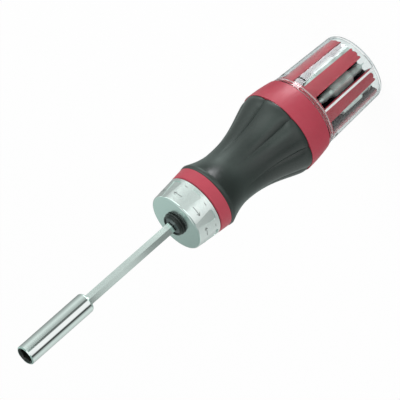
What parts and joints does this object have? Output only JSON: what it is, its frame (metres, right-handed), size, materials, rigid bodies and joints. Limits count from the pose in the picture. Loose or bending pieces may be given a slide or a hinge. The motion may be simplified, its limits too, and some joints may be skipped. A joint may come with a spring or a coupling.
{
  "type": "ratcheting screwdriver",
  "caption": "Ratcheting screwdriver with a fluted rubber grip, a selector ring, a long bit sleeve and double-ended bits stored under a turning clear cap.",
  "frame": {"origin": "centre of the clear cap's flat end face", "axes": "+Z along the tool's axis from the cap's flat end to the bit socket; the cap's window faces -Y at rest and the pawl lies towards +Y"},
  "size_m": [0.0432, 0.0432, 0.22],
  "materials": {
    "clear_plastic": "clear, glossy",
    "red_plastic": "semi-matt, moulded",
    "black_rubber": "matt",
    "case_metal": "black, die-cast",
    "bronze": "sintered",
    "hardened_steel": "dark, oiled",
    "polished_steel": "ground",
    "spring_steel": "drawn wire",
    "black_steel": "blackened",
    "satin_zinc": "satin, die-cast",
    "satin_steel": "satin",
    "chrome": "polished",
    "bit_steel": "satin",
    "magnet": "plated"
  },
  "bodies": {
    "handle": {"handle_body": "red_plastic", "grip": "black_rubber", "gear_case": "case_metal", "rear_bearing": "bronze", "thrust_ball": "polished_steel", "pawl_pin": "polished_steel", "snap_ring": "black_steel", "bit_core": "red_plastic", "bit_1": "bit_steel", "bit_2": "bit_steel", "bit_3": "bit_steel", "bit_4": "bit_steel", "bit_5": "bit_steel", "bit_6": "bit_steel", "bit_7": "bit_steel", "bit_8": "bit_steel"},
    "cap": {"clear_cap": "clear_plastic"},
    "selector": {"selector_ring": "satin_zinc", "plunger_spring": "spring_steel"},
    "plunger": {"plunger": "polished_steel"},
    "pawl": {"pawl": "hardened_steel"},
    "spindle": {"ratchet_gear": "hardened_steel", "shank_clip": "hardened_steel", "shank": "satin_steel", "bit_sleeve": "chrome", "socket_ring": "spring_steel", "socket_magnet": "magnet"}
  },
  "joints": [
    {"name": "cap_turn", "type": "hinge", "parent": "handle", "child": "cap", "pos_m": [0, 0, 0.02], "axis": [0, 0, 1], "continuous": true},
    {"name": "selector_turn", "type": "hinge", "parent": "handle", "child": "selector", "pos_m": [0, 0, 0.114], "axis": [0, 0, 1], "range_deg": [-20, 20]},
    {"name": "plunger_press", "type": "slide", "parent": "selector", "child": "plunger", "axis": [0, 1, 0], "range_m": [0, 0.0005], "stiffness_N_per_m": 200, "deforming": ["plunger_spring"]},
    {"name": "pawl_rock", "type": "hinge", "parent": "handle", "child": "pawl", "pos_m": [0, 0.008, 0.114], "axis": [0, 0, 1], "range_deg": [-4.6, 4.6]},
    {"name": "spindle_turn", "type": "hinge", "parent": "handle", "child": "spindle", "pos_m": [0, 0, 0.114], "axis": [0, 0, 1], "continuous": true}
  ],
  "couplings": [
    {"joint": "pawl_rock", "follows": "selector_turn", "ratio": 0.225}
  ]
}
